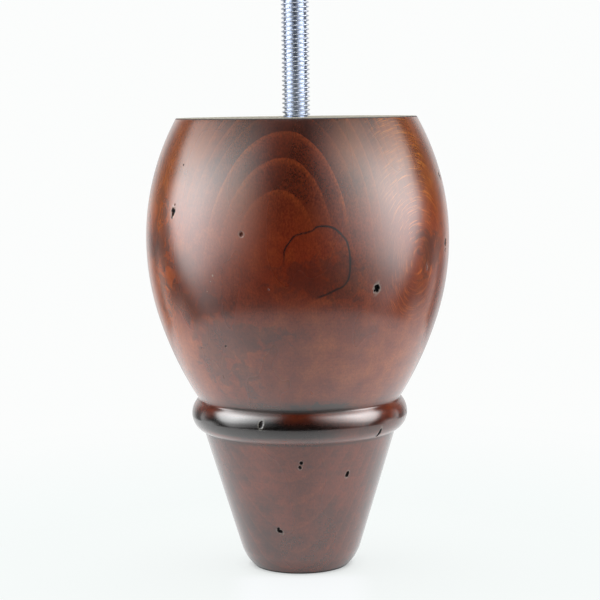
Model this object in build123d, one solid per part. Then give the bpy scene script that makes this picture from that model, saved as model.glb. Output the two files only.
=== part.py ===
from build123d import *
import os

# A turned wooden furniture foot: a full belly on top, a bead under a narrow neck, and a taper down to
# a small flat base. A hanger bolt screwed into the top face carries the foot: its machine thread stands
# up out of the wood and its wood screw end sits in a pilot hole on the turning axis.
# The foot stands on the floor at z = 0, its axis is Z, and the side with the nicks faces -Y.
# All sizes are in millimetres, angles in degrees.

# Heights and diameters of the turned body
FOOT_HEIGHT = 128.5
TOP_DIAMETER = 68.0
TOP_EDGE_ROUND = 0.4
BELLY_DIAMETER = 86.0
BELLY_DROP = 34.5  # from the top face down to the belly's widest line
BELLY_FULLNESS = 0.745  # share of the belly's overhang past the neck that is left halfway down to it
BEAD_DIAMETER = 61.7
BEAD_HEIGHT = 44.4  # of the bead's widest line above the floor
BEAD_UPPER_RADIUS = 6.0  # of the bead's section above its widest line
BEAD_TURN_UP = 48.0  # how far that round runs up, to the neck
BEAD_LOWER_RADIUS = 5.2  # and below it, a little rounder
BEAD_TURN_DOWN = 70.0  # how far that round runs down, to the taper
NECK_COVE_RADIUS = 0.9
TAPER_END_DIAMETER = 34.5
TAPER_END_HEIGHT = 5.9
BASE_DIAMETER = 27.0

# Hanger bolt and its pilot hole
THREAD_DIAMETER = 8.0
THREAD_LENGTH = 35.0
THREAD_CHAMFER = 1.0
SCREW_DIAMETER = 7.2
SCREW_LENGTH = 35.0
SCREW_POINT_LENGTH = 6.0
PILOT_CLEARANCE = 0.05
COUNTERSINK_DIAMETER = 10.0

# Nicks of the distressed finish, one row each: share of the way along the curve they lie on, angle round
# the axis from the front (positive to the right), length, width, depth, and lean of the length from upright
# (positive to the left)
BELLY_UPPER_NICKS = (
    (0.27, -52.5, 2.1, 1.1, 0.5, 4.0),
    (0.12, -20.2, 1.3, 1.1, 0.5, 0.0),
    (0.50, 77.8, 2.6, 1.0, 0.4, 50.0),
)
BELLY_LOWER_NICKS = (
    (0.47, 29.7, 1.9, 1.8, 0.8, 0.0),
    (0.055, 72.8, 2.9, 1.1, 0.4, 0.0),
    (0.27, 55.2, 2.1, 0.9, 0.2, 0.0),
)
BEAD_UPPER_NICKS = (
    (0.30, -20.0, 3.2, 1.6, 0.3, -18.0),
    (0.08, 78.9, 1.5, 1.2, 0.15, 0.0),
)
BEAD_LOWER_NICKS = ((0.63, 47.6, 3.6, 1.2, 0.5, 0.0),)
TAPER_NICKS = (
    (0.16, 0.6, 1.1, 1.0, 0.4, 0.0),
    (0.20, -0.4, 1.2, 1.0, 0.4, 0.0),
    (0.285, 32.0, 1.9, 1.2, 0.5, -8.0),
    (0.78, -17.6, 1.8, 1.3, 0.5, 62.0),
)

# Points of the turned profile, in the plane y = 0 with x as the radius
bead_side = Vector(BEAD_DIAMETER / 2, 0, BEAD_HEIGHT)
upper_spoke = Vector(BEAD_UPPER_RADIUS, 0, 0)
lower_spoke = Vector(BEAD_LOWER_RADIUS, 0, 0)
neck = bead_side - upper_spoke + upper_spoke.rotate(Axis.Y, -BEAD_TURN_UP)
bead_foot = bead_side - lower_spoke + lower_spoke.rotate(Axis.Y, BEAD_TURN_DOWN)
top_edge = Vector(TOP_DIAMETER / 2, 0, FOOT_HEIGHT)
belly_side = Vector(BELLY_DIAMETER / 2, 0, FOOT_HEIGHT - BELLY_DROP)
belly_half = Vector(
    neck.X + BELLY_FULLNESS * (belly_side.X - neck.X), 0, (neck.Z + belly_side.Z) / 2
)
taper_end = Vector(TAPER_END_DIAMETER / 2, 0, TAPER_END_HEIGHT)
base_edge = Vector(BASE_DIAMETER / 2, 0, 0)

# The curves between them, from the top face down
belly_upper = TangentArc(belly_side, top_edge, tangent=(0, 0, 1))
belly_middle = TangentArc(belly_side, belly_half, tangent=(0, 0, -1))
belly_lower = TangentArc(belly_half, neck, tangent=belly_middle % 1)
bead_upper = TangentArc(bead_side, neck, tangent=(0, 0, 1))
bead_lower = TangentArc(bead_side, bead_foot, tangent=(0, 0, -1))
taper = Line(bead_foot, taper_end)
base_round = TangentArc(taper_end, base_edge, tangent=taper % 1)
base_line = Line(base_edge, (0, 0, 0))
axis_line = Line((0, 0, 0), (0, 0, FOOT_HEIGHT))
top_line = Line((0, 0, FOOT_HEIGHT), top_edge)


def turned_body():
    """The solid of revolution, with the neck's cove and the softened top edge."""
    side_curves = [belly_upper, belly_middle, belly_lower, bead_upper, bead_lower, taper, base_round]
    section = make_face(side_curves + [base_line, axis_line, top_line])
    cove_corner = section.vertices().sort_by_distance(neck)[0]
    section = fillet(cove_corner, NECK_COVE_RADIUS)
    edge_corner = section.vertices().sort_by_distance(top_edge)[0]
    section = fillet(edge_corner, TOP_EDGE_ROUND)
    return revolve(section, Axis.Z)


def screw_end(clearance):
    """The bolt's pointed wood screw end, or with a clearance the pilot hole that takes it."""
    radius = SCREW_DIAMETER / 2 + clearance
    shank = Cylinder(
        radius, SCREW_LENGTH - SCREW_POINT_LENGTH, align=(Align.CENTER, Align.CENTER, Align.MAX)
    )
    point = Cone(
        radius,
        clearance,
        SCREW_POINT_LENGTH,
        rotation=(180, 0, 0),
        align=(Align.CENTER, Align.CENTER, Align.MIN),
    )
    return Pos(0, 0, FOOT_HEIGHT) * shank + Pos(0, 0, FOOT_HEIGHT - SCREW_LENGTH + SCREW_POINT_LENGTH) * point


def countersink():
    """The cone that opens the mouth of the pilot hole."""
    pilot_radius = SCREW_DIAMETER / 2 + PILOT_CLEARANCE
    depth = COUNTERSINK_DIAMETER / 2 - pilot_radius
    cone = Cone(
        pilot_radius, COUNTERSINK_DIAMETER / 2, depth, align=(Align.CENTER, Align.CENTER, Align.MAX)
    )
    return Pos(0, 0, FOOT_HEIGHT) * cone


def nick(curve, share, angle, length, width, depth, lean):
    """A barrel shaped cutter that leaves a nick of the given size on the profile curve."""
    girth = ((width / 2) ** 2 + depth**2) / (2 * depth)
    rise = girth - depth
    outline = make_face(
        [
            Line((0, -length / 2), (rise, -length / 2)),
            ThreePointArc((rise, -length / 2), (girth, 0), (rise, length / 2)),
            Line((rise, length / 2), (0, length / 2)),
            Line((0, length / 2), (0, -length / 2)),
        ]
    )
    barrel = revolve(outline, Axis.Y)
    place = curve @ share
    along = curve % share
    outward = along.cross(Vector(0, 1, 0))
    if outward.X < 0:
        outward = -outward
    seat = Plane(origin=place + outward * rise, x_dir=Vector(0, 1, 0), z_dir=outward)
    return Rot(0, 0, angle - 90) * seat.location * Rot(0, 0, lean) * barrel


nick_rows = (
    (belly_upper, BELLY_UPPER_NICKS),
    (belly_middle, BELLY_LOWER_NICKS),
    (bead_upper, BEAD_UPPER_NICKS),
    (bead_lower, BEAD_LOWER_NICKS),
    (taper, TAPER_NICKS),
)
turned_foot = turned_body() - screw_end(PILOT_CLEARANCE) - countersink()
for curve, rows in nick_rows:
    for row in rows:
        turned_foot -= nick(curve, *row)

threaded_end = Pos(0, 0, FOOT_HEIGHT) * Cylinder(
    THREAD_DIAMETER / 2, THREAD_LENGTH, align=(Align.CENTER, Align.CENTER, Align.MIN)
)
threaded_end = chamfer(threaded_end.edges().group_by(Axis.Z)[-1], THREAD_CHAMFER)
hanger_bolt = threaded_end + screw_end(0)

os.makedirs("parts", exist_ok=True)
export_step(turned_foot, "parts/turned_foot.step")
export_step(hanger_bolt, "parts/hanger_bolt.step")
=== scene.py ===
# %% [markdown]
# # A turned furniture foot
# The object is a wooden foot for a sofa or a cabinet, turned on a lathe, stained red-brown, knocked about on
# purpose and lacquered. A zinc-plated hanger bolt stands out of its top. The solid model comes first: it is
# loaded as a fixed frame, and every piece made below takes its place in that frame, in metres, with z up.

# %% Load the frame
import math
import bmesh
import bpy
import numpy as np
from mathutils import Matrix, Vector, noise


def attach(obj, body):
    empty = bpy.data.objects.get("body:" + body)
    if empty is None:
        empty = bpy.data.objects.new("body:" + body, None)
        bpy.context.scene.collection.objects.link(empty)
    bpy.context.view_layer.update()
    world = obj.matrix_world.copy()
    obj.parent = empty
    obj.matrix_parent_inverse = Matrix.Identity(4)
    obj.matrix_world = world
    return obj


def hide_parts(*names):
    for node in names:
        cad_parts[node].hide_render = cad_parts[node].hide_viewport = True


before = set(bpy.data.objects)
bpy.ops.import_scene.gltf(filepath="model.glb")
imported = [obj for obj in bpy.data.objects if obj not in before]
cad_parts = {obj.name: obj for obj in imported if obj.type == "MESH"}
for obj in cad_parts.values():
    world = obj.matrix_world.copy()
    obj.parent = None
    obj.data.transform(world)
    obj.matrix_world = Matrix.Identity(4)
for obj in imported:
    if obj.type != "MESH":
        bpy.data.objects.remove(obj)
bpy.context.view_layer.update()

scene = bpy.context.scene
scene.view_settings.view_transform = "Standard"
MM = 0.001

# %% [markdown]
# ## The turner's profile
# A turned piece is one curve spun round an axis, so the curve is where the care goes. It could be drawn as a
# Bezier curve by eye, but a turner works with arcs that flow into each other: each arc below leaves one point
# along a known direction and ends at the next. Sizes are the ones of the solid model, in millimetres.

# %% Arcs of the profile
def arc(start, direction, end, steps):
    """Points on the circle from start, along direction, to end, with its centre and its last direction."""
    start, direction, end = (np.array(v, float) for v in (start, direction, end))
    direction /= np.linalg.norm(direction)
    side = np.array([-direction[1], direction[0]])
    chord = end - start
    radius = chord @ chord / (2 * (chord @ side))
    centre = start + radius * side
    turn = 2 * math.atan2(chord @ side, chord @ direction)
    angles = np.linspace(0, turn, steps)
    cos, sin = np.cos(angles), np.sin(angles)
    spoke = start - centre
    points = centre + np.c_[spoke[0] * cos - spoke[1] * sin, spoke[0] * sin + spoke[1] * cos]
    (right, up), (c, s) = direction, (cos[-1], sin[-1])
    return points, centre, np.array([right * c - up * s, right * s + up * c])


def round_about(centre, radius, start_deg, end_deg, steps):
    """Points on a circle between two angles."""
    angles = np.radians(np.linspace(start_deg, end_deg, steps))
    return np.array(centre) + radius * np.c_[np.cos(angles), np.sin(angles)]


FOOT_HEIGHT, TOP_R, TOP_ROUND = 128.5, 34.0, 0.4
BELLY_R, BELLY_Z, BELLY_FULLNESS = 43.0, 94.0, 0.745
BEAD_R, BEAD_Z = 30.85, 44.4
BEAD_UPPER, BEAD_UP, BEAD_LOWER, BEAD_DOWN = 6.0, 48.0, 5.2, 70.0
COVE_R = 0.9
TAPER_END, BASE_R = (17.25, 5.9), 13.5
BORE_R, BORE_BOTTOM, BORE_POINT, SINK_R = 3.65, 93.5, 6.0, 5.0

bead_upper_centre = np.array([BEAD_R - BEAD_UPPER, BEAD_Z])
bead_lower_centre = np.array([BEAD_R - BEAD_LOWER, BEAD_Z])
neck = round_about(bead_upper_centre, BEAD_UPPER, BEAD_UP, BEAD_UP, 1)[0]
bead_foot = round_about(bead_lower_centre, BEAD_LOWER, -BEAD_DOWN, -BEAD_DOWN, 1)[0]
belly_half = np.array([neck[0] + BELLY_FULLNESS * (BELLY_R - neck[0]), (neck[1] + BELLY_Z) / 2])

belly_upper = arc((BELLY_R, BELLY_Z), (0, 1), (TOP_R, FOOT_HEIGHT), 400)[0][::-1]
belly_middle, _, downward = arc((BELLY_R, BELLY_Z), (0, -1), belly_half, 300)
belly_lower, lower_centre, _ = arc(belly_half, downward, neck, 300)
taper = np.linspace(bead_foot, TAPER_END, 300)
base_round = arc(TAPER_END, taper[-1] - taper[0], (BASE_R, 0), 120)[0]
print("belly, bead and taper drawn; neck corner at radius", np.round(neck, 2))

# %% [markdown]
# The neck isn't a sharp corner: the gouge leaves a small cove there. Its circle touches the belly's lower arc
# and the bead from outside, so its centre lies at known distances from theirs. The top edge is eased with
# sandpaper, a rounding of less than half a millimetre.

# %% Cove and eased top edge
lower_radius = np.linalg.norm(neck - lower_centre)
far, near = lower_radius + COVE_R, BEAD_UPPER + COVE_R
gap = bead_upper_centre - lower_centre
along = (far**2 - near**2 + gap @ gap) / (2 * np.linalg.norm(gap))
across = math.sqrt(far**2 - along**2)
unit = gap / np.linalg.norm(gap)
cove_centre = lower_centre + along * unit + across * np.array([-unit[1], unit[0]])
if cove_centre[0] < neck[0]:
    cove_centre = lower_centre + along * unit - across * np.array([-unit[1], unit[0]])
to_belly, to_bead = lower_centre - cove_centre, bead_upper_centre - cove_centre
cove = round_about(
    cove_centre,
    COVE_R,
    math.degrees(math.atan2(to_belly[1], to_belly[0])) % 360,
    math.degrees(math.atan2(to_bead[1], to_bead[0])) % 360,
    60,
)
belly_lower = belly_lower[belly_lower[:, 1] > cove[0][1]]
bead_start = math.degrees(math.atan2(-to_bead[1], -to_bead[0]))
bead_upper = round_about(bead_upper_centre, BEAD_UPPER, bead_start, 0, 150)
bead = np.vstack([bead_upper, round_about(bead_lower_centre, BEAD_LOWER, 0, -BEAD_DOWN, 200)[1:]])

lean = math.atan2(belly_upper[1][0] - belly_upper[0][0], belly_upper[0][1] - belly_upper[1][1])
reach = TOP_ROUND * math.tan((math.pi / 2 - lean) / 2)
eased_centre = (TOP_R - reach, FOOT_HEIGHT - TOP_ROUND)
eased = round_about(eased_centre, TOP_ROUND, 90, math.degrees(lean), 12)
belly_upper = belly_upper[belly_upper[:, 1] < eased[-1][1]]
side_curve = np.vstack(
    [eased, belly_upper, belly_middle[1:], belly_lower[1:], cove, bead[1:], taper[1:], base_round[1:]]
)
print("side of the foot:", len(side_curve), "points, widest", round(side_curve[:, 0].max(), 2), "mm")

# %% [markdown]
# ## Spinning the profile
# Blender's Screw modifier could spin the curve. Here the rings are laid down in code instead, because the
# surface is then cut finer only where a nick needs it, and each vertex can be told what it belongs to. Rings
# are about a millimetre apart and closer in the cove, on the bead and on the eased edges.

# %% Rings of the lathe work
def spaced(points, step):
    """The same run of points, evenly spread at about the given step."""
    lengths = np.r_[0, np.cumsum(np.linalg.norm(np.diff(points, axis=0), axis=1))]
    wanted = np.linspace(0, lengths[-1], max(2, round(lengths[-1] / step) + 1))
    return np.c_[np.interp(wanted, lengths, points[:, 0]), np.interp(wanted, lengths, points[:, 1])]


bore_run = np.array([[0, BORE_BOTTOM], [BORE_R, BORE_BOTTOM + BORE_POINT], [BORE_R, FOOT_HEIGHT - SINK_R + BORE_R]])
bare_runs = [
    bore_run[:2],
    spaced(bore_run[1:], 3.0)[1:],
    np.array([[SINK_R, FOOT_HEIGHT]]),
    spaced(np.array([[SINK_R, FOOT_HEIGHT], [eased[0][0], FOOT_HEIGHT]]), 1.2)[1:],
]
side_runs = [
    spaced(eased, 0.12)[1:],
    spaced(np.vstack([eased[-1:], belly_upper, belly_middle[1:], belly_lower[1:], cove[:1]]), 1.0)[1:],
    spaced(cove, 0.15)[1:],
    spaced(np.vstack([cove[-1:], bead[1:]]), 0.4)[1:],
    spaced(taper, 1.0)[1:],
    spaced(base_round, 0.5)[1:],
]
base_runs = [spaced(np.array([[BASE_R, 0.0], [0.0, 0.0]]), 1.5)[1:]]
rings = np.vstack(bare_runs + side_runs + base_runs)
bare_count = sum(len(run) for run in bare_runs)
side_count = sum(len(run) for run in side_runs)
print(len(rings), "rings:", bare_count, "in the bore and top,", side_count, "on the side")

# %% Foot mesh
AROUND, FULL_TURN = 256, 2 * math.pi
# Finishes of the faces, by their place in the foot's list of materials
STAINED, BARE, BEAD_LIT_COPY, DULL_GLAZE = range(4)


def lathe(points, around):
    """A bmesh of the rings spun round z, closed to single points where the first and last ring lie on the axis."""
    mesh = bmesh.new()
    turns = [FULL_TURN * i / around for i in range(around)]
    rows = [[mesh.verts.new((0, 0, points[0][1] * MM))]]
    for radius, height in points[1:-1] * MM:
        rows.append([mesh.verts.new((radius * math.sin(t), -radius * math.cos(t), height)) for t in turns])
    rows.append([mesh.verts.new((0, 0, points[-1][1] * MM))])
    for row, (upper, lower) in enumerate(zip(rows, rows[1:])):
        for i in range(around):
            j = (i + 1) % around
            corners = [upper[i % len(upper)], lower[i % len(lower)], lower[j % len(lower)], upper[j % len(upper)]]
            face = mesh.faces.new(list(dict.fromkeys(corners)))
            face.material_index = STAINED if bare_count - 1 <= row < bare_count + side_count - 1 else BARE
            face.smooth = True
    bmesh.ops.recalc_face_normals(mesh, faces=mesh.faces)
    return mesh


foot_mesh = lathe(rings, AROUND)
print("foot before the nicks:", len(foot_mesh.faces), "faces")

# %% [markdown]
# ## Nicks of the distressed finish
# Before staining, the maker strikes the wood with a chain, a screw and the corner of a file. Each mark is a
# pit with a ragged edge. A bump texture would look right from the front only, so the pits are real: the faces
# round each one are cut small, set back on the true curve, and pressed in. The depth and the pale rim are kept
# as attributes, because the dark glaze stays in the pits and the material needs to know where they are.

# %% Nick list
# Angle round the axis from the front (to the right), height, length, width, depth, lean to the left, raggedness
# and how much dark glaze it holds
NICKS = (
    (-52.4, 103.8, 2.6, 1.35, 0.50, 6, 0.75, 1),
    (-52.9, 102.1, 0.9, 0.50, 0.25, 10, 0.6, 1),
    (-51.8, 105.6, 0.8, 0.40, 0.20, -8, 0.6, 1),
    (-20.2, 98.4, 1.4, 1.20, 0.45, 20, 0.35, 0.3),
    (-50.9, 116.3, 0.7, 0.45, 0.20, 12, 0.4, 0.8),
    (77.8, 111.8, 2.9, 1.50, 0.45, 45, 0.4, 1),
    (29.7, 83.3, 2.2, 1.75, 0.80, 0, 0.4, 1),
    (72.8, 93.5, 2.3, 2.00, 0.45, 0, 0.4, 1),
    (72.8, 91.4, 1.1, 1.50, 0.35, 0, 0.4, 1),
    (55.2, 87.8, 2.3, 0.90, 0.10, 0, 0.5, 0.9),
    (-30.9, 67.8, 0.6, 0.55, 0.25, 0, 0.3, 1),
    (-44.5, 66.6, 0.5, 0.45, 0.15, 0, 0.3, 0.6),
    (-10.6, 83.8, 0.5, 0.50, 0.15, 0, 0.3, 0.6),
    (-20.0, 45.6, 2.3, 1.35, 0.16, -12, 0.2, 0.45),
    (47.6, 41.2, 3.4, 1.15, 0.45, 0, 0.3, 1),
    (78.9, 44.9, 1.5, 1.20, 0.15, 0, 0.2, 0.3),
    (0.6, 34.2, 1.1, 1.00, 0.40, 0, 0.3, 1),
    (-0.2, 32.9, 1.2, 1.00, 0.40, 0, 0.3, 1),
    (32.0, 30.0, 1.9, 1.15, 0.50, -8, 0.3, 1),
    (-17.6, 13.5, 1.8, 1.20, 0.50, 62, 0.5, 1),
    (-18.6, 14.3, 1.1, 0.60, 0.30, -35, 0.5, 1),
)
print(len(NICKS), "nicks, the deepest", max(nick[4] for nick in NICKS), "mm")

# %% Shape of a nick
side_up = side_curve[np.argsort(side_curve[:, 1])]
# Points at one height are set a hair apart, because a slope needs a step
HAIR = 1e-9
slope_up = np.gradient(side_up[:, 0], side_up[:, 1] + np.arange(len(side_up)) * HAIR)
# The rim's middle and half width as shares of a pit's own size, how pale it is where there is little glaze,
# and the depth in millimetres at which it is palest
RIM_AT, RIM_WIDTH, PALE_RIM, PALEST_AT = 1.2, 0.4, 0.7, 0.8


def side_point(angle, height):
    """Place on the turned side in millimetres, and the directions out of it, to the right and up along it."""
    radius = np.interp(height, side_up[:, 1], side_up[:, 0])
    slope = np.interp(height, side_up[:, 1], slope_up)
    outward = np.array([math.sin(angle), -math.cos(angle), 0])
    right = np.array([math.cos(angle), math.sin(angle), 0])
    up = np.array([slope * outward[0], slope * outward[1], 1]) / math.hypot(slope, 1)
    return outward * radius + np.array([0, 0, height]), np.cross(right, up), right, up


def pit_depth(nick, offset, right, up, seed):
    """How deep the nick is at an offset from its middle, and how close the spot is to its rim."""
    _, _, length, width, depth, lean_deg, ragged, glaze = nick
    lean_to = math.radians(lean_deg)
    across = offset @ right * math.cos(lean_to) + offset @ up * math.sin(lean_to)
    lengthwise = offset @ up * math.cos(lean_to) - offset @ right * math.sin(lean_to)
    torn = noise.noise(Vector((across * 1.8 + seed, lengthwise * 1.4, 0))) * ragged * width * 0.5
    torn += noise.noise(Vector((across * 4.5, lengthwise * 4.0 + seed, 3))) * ragged * width * 0.25
    away = math.hypot((across + torn) / (width / 2), (lengthwise + torn * 0.6) / (length / 2))
    pressed = depth * max(0.0, 1 - away**2) ** 0.6
    paleness = PALE_RIM if glaze < 0.5 else min(1.0, depth / PALEST_AT)
    return pressed, max(0.0, 1 - abs(away - RIM_AT) / RIM_WIDTH) * paleness


middles = [side_point(math.radians(nick[0]), nick[1])[0] for nick in NICKS]
print("nicks from", round(min(middle[2] for middle in middles), 1), "mm above the floor upwards")

# %% Cut the faces finer round the nicks
# Millimetres of finer faces round a nick; the second cut keeps closer to it
ROOM = 0.9
for closeness in (1.0, 0.72):
    chosen = set()
    for nick, middle in zip(NICKS, middles):
        spread = (max(nick[2], nick[3]) * 0.5 + ROOM) * closeness * MM
        spot = Vector(middle) * MM
        for face in foot_mesh.faces:
            if face.material_index == STAINED and (face.calc_center_median() - spot).length < spread:
                chosen.update(face.edges)
    bmesh.ops.subdivide_edges(foot_mesh, edges=list(chosen), cuts=2, use_grid_fill=True)
print("foot with room for the nicks:", len(foot_mesh.faces), "faces")

# %% Press the nicks in
# Millimetres from a nick's middle to the last vertex it may move, from the floor to the first one, and down to
# the depth at which the pit is full of glaze; and the step between the seeds of two nicks
NICK_REACH, ABOVE_FLOOR, FULL_GLAZE, SEED_STEP = 3.2, 0.02, 0.3, 7.3
pit_layer = foot_mesh.verts.layers.float.new("pit")
rim_layer = foot_mesh.verts.layers.float.new("rim")
stained = {vert for face in foot_mesh.faces if face.material_index == STAINED for vert in face.verts}
for vert in stained:
    here = np.array(vert.co) / MM
    if not ABOVE_FLOOR < here[2] < FOOT_HEIGHT - TOP_ROUND:
        continue
    close = [k for k, middle in enumerate(middles) if np.linalg.norm(here - middle) < NICK_REACH]
    if not close:
        continue
    here, outward, right, up = side_point(math.atan2(here[0], -here[1]), here[2])
    pits = [pit_depth(NICKS[k], here - middles[k], right, up, SEED_STEP * k) for k in close]
    pressed = max(pit[0] for pit in pits)
    vert.co = Vector(here - outward * pressed) * MM
    vert[pit_layer] = max(min(1.0, pit[0] / FULL_GLAZE) * NICKS[k][7] for k, pit in zip(close, pits))
    vert[rim_layer] = max(pit[1] for pit in pits)
print("vertices with glaze:", sum(vert[pit_layer] > 0 for vert in stained))


# %% Foot piece
def add_object(name, data):
    """An object that shows the given data, put into the scene."""
    made = bpy.data.objects.new(name, data)
    scene.collection.objects.link(made)
    return made


def triangles(data):
    """How many triangles a mesh has."""
    return sum(len(face.vertices) - 2 for face in data.polygons)


SHARP_WOOD = math.radians(38)
foot_data = bpy.data.meshes.new("turned_foot_wood")
foot_mesh.normal_update()
foot_mesh.to_mesh(foot_data)
foot_mesh.free()
foot_data.set_sharp_from_angle(angle=SHARP_WOOD)
foot = add_object("turned_foot_wood", foot_data)
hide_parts("turned_foot")
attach(foot, "root")
print("foot:", triangles(foot_data), "triangles")

# %% [markdown]
# ## The hanger bolt
# One end is a machine thread for a nut, the other a coarse wood screw, with a plain neck between. The Screw
# modifier winds one pitch only, so the whole bolt is laid down as one long spiral of small faces: each turn
# starts where the last one ended, and the height climbs by whatever the pitch is at that place. The wood screw
# end stays hidden in its pilot hole.

# %% Radius of the bolt
THREAD_R, THREAD_ROOT, THREAD_PITCH = 3.98, 3.2, 1.25
SCREW_R, SCREW_ROOT, SCREW_PITCH, NECK_R = 3.56, 2.55, 2.8, 3.5
TIP_Z, NECK_FROM, NECK_TO, BOLT_TOP = 93.5, 118.0, 128.5, 163.5
# Millimetres over which the screw fades into the neck, the neck's step, the height over which the thread grows
# out of it, and the chamfer at the top; then the slope of the point, its smallest radius, and how far under the
# wood's top face the thread begins
FADE, NECK_STEP, RUN_IN, CHAMFER = 3, 0.25, 0.5, 0.95
POINT_SLOPE, POINT_R, JUST_UNDER = 0.58, 0.02, 0.05
AROUND_BOLT, PER_PITCH = 48, 12
# Radius between root and crest over one pitch: rounded root, straight 60 degree flanks, narrow flat crest
tooth = np.interp(
    np.arange(PER_PITCH) / PER_PITCH,
    (0, 0.08, 0.15, 0.42, 0.46, 0.54, 0.58, 0.85, 0.92, 1),
    (0, 0.01, 0.06, 0.93, 1, 1, 0.93, 0.06, 0.01, 0),
)


def bolt_radius(height, share):
    """Radius of the bolt at a height, for a spot at the given share between root and crest."""
    screw = SCREW_ROOT + (SCREW_R - SCREW_ROOT) * share**2.2
    thread = THREAD_ROOT + (THREAD_R - THREAD_ROOT) * share
    fade_in = min(1.0, max(0.0, (height - NECK_FROM + FADE) / FADE))
    radius = screw + (NECK_R - screw) * fade_in
    if height > NECK_TO - JUST_UNDER:
        grown_out = min(1.0, (height - NECK_TO + JUST_UNDER) / RUN_IN)
        radius = NECK_R - NECK_STEP + (thread - NECK_R + NECK_STEP) * grown_out
    radius = min(radius, POINT_R + (height - TIP_Z) * POINT_SLOPE)
    return max(POINT_R, min(radius, THREAD_R - max(0.0, height - BOLT_TOP + CHAMFER)))


print("bolt from", TIP_Z, "to", BOLT_TOP, "mm, a turn of", PER_PITCH, "rows")

# %% Spiral of the bolt
turn_heights = [TIP_Z - 2 * SCREW_PITCH]
turn_pitches = []
while turn_heights[-1] < BOLT_TOP + 2 * THREAD_PITCH:
    turn_pitches.append(SCREW_PITCH if turn_heights[-1] < NECK_FROM else THREAD_PITCH)
    turn_heights.append(turn_heights[-1] + turn_pitches[-1])
turn_count = len(turn_pitches)
bolt_mesh = bmesh.new()
spiral = []
for row in range((turn_count - 1) * PER_PITCH):
    line = []
    for i in range(AROUND_BOLT):
        wound = row / PER_PITCH + i / AROUND_BOLT
        height = float(np.interp(wound, range(turn_count + 1), turn_heights))
        radius = bolt_radius(height, tooth[row % PER_PITCH])
        angle = FULL_TURN * i / AROUND_BOLT
        spot = (radius * math.cos(angle) * MM, radius * math.sin(angle) * MM, height * MM)
        line.append(bolt_mesh.verts.new(spot))
    spiral.append(line)
for row in range(len(spiral) - PER_PITCH - 1):
    for i in range(AROUND_BOLT):
        here, above = spiral[row], spiral[row + 1]
        after, after_above = here, above
        if i == AROUND_BOLT - 1:
            after, after_above = spiral[row + PER_PITCH], spiral[row + PER_PITCH + 1]
        j = (i + 1) % AROUND_BOLT
        bolt_mesh.faces.new((here[i], after[j], after_above[j], above[i])).smooth = True
print("bolt:", turn_count, "turns,", len(bolt_mesh.faces), "faces before its ends are cut")

# %% Bolt piece
SHARP_STEEL, POINT_CUT = math.radians(50), 0.06
for level, facing in ((TIP_Z + POINT_CUT, -1), (BOLT_TOP, 1)):
    bmesh.ops.bisect_plane(
        bolt_mesh,
        geom=list(bolt_mesh.verts) + list(bolt_mesh.edges) + list(bolt_mesh.faces),
        plane_co=(0, 0, level * MM),
        plane_no=(0, 0, facing),
        clear_outer=True,
    )
bmesh.ops.holes_fill(bolt_mesh, edges=[edge for edge in bolt_mesh.edges if edge.is_boundary], sides=0)
bmesh.ops.recalc_face_normals(bolt_mesh, faces=bolt_mesh.faces)
bolt_data = bpy.data.meshes.new("hanger_bolt_steel")
bolt_mesh.to_mesh(bolt_data)
open_edges = sum(edge.is_boundary for edge in bolt_mesh.edges)
bolt_mesh.free()
bolt_data.set_sharp_from_angle(angle=SHARP_STEEL)
bolt = add_object("hanger_bolt_steel", bolt_data)
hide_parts("hanger_bolt")
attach(bolt, "root")
print("bolt:", triangles(bolt_data), "triangles,", open_edges, "open edges")

# %% [markdown]
# ## Building materials in code
# A node material is a small graph of values, vectors and colours. It could be laid out by hand in the shader
# editor; in code a few helpers keep it readable. The first ones add a node, fill its sockets with plain values
# or with links, and give the sums that a finish needs: times, plus, less, a soft step and a band.

# %% Node helpers: values
def put(tree, kind, sockets=None, **settings):
    """Adds a shader node; a socket value that is itself a socket becomes a link."""
    made = tree.nodes.new("ShaderNode" + kind)
    for name, value in settings.items():
        setattr(made, name, value)
    for name, value in (sockets or {}).items():
        if isinstance(value, bpy.types.NodeSocket):
            tree.links.new(value, made.inputs[name])
        else:
            made.inputs[name].default_value = value
    return made


def reckon(tree, operation, *values, clamp=False):
    """A Math node's result."""
    return put(tree, "Math", dict(enumerate(values)), operation=operation, use_clamp=clamp).outputs[0]


def times(tree, first, second):
    """Two values multiplied."""
    return reckon(tree, "MULTIPLY", first, second)


def times_plus(tree, first, second, third, clamp=False):
    """Two values multiplied, and a third added."""
    return reckon(tree, "MULTIPLY_ADD", first, second, third, clamp=clamp)


def plus(tree, first, second):
    """Two values added."""
    return reckon(tree, "ADD", first, second)


def less(tree, first, second, clamp=False):
    """The first value without the second."""
    return reckon(tree, "SUBTRACT", first, second, clamp=clamp)


def larger(tree, first, second):
    """The larger of two values."""
    return reckon(tree, "MAXIMUM", first, second)


def long_side(tree, first, second):
    """The distance over two others that stand at right angles."""
    return reckon(tree, "SQRT", plus(tree, *(reckon(tree, "POWER", value, 2.0) for value in (first, second))))


def between(tree, value, low, high):
    """0 below low, 1 above high and a soft step between; low above high turns it round."""
    sockets = {"Value": value, "From Min": low, "From Max": high}
    return put(tree, "MapRange", sockets, interpolation_type="SMOOTHSTEP").outputs["Result"]


def band(tree, value, first_step, second_step):
    """1 inside two soft steps and 0 outside; each step is where it is 0 and where it reaches 1."""
    return times(tree, between(tree, value, *first_step), between(tree, value, *second_step))


def stretched(tree, value, low, high, start, end):
    """A value between low and high, laid out evenly between start and end."""
    sockets = {"Value": value, "From Min": low, "From Max": high, "To Min": start, "To Max": end}
    return put(tree, "MapRange", sockets).outputs["Result"]


print("helpers for values ready")

# %% [markdown]
# The other helpers work on vectors and colours: a place taken apart or put together, a noise read at a place,
# a colour mixed from two others or read off a row of stops. The last one makes a node group with named sockets,
# so that more than one material can use what is in it.

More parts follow.
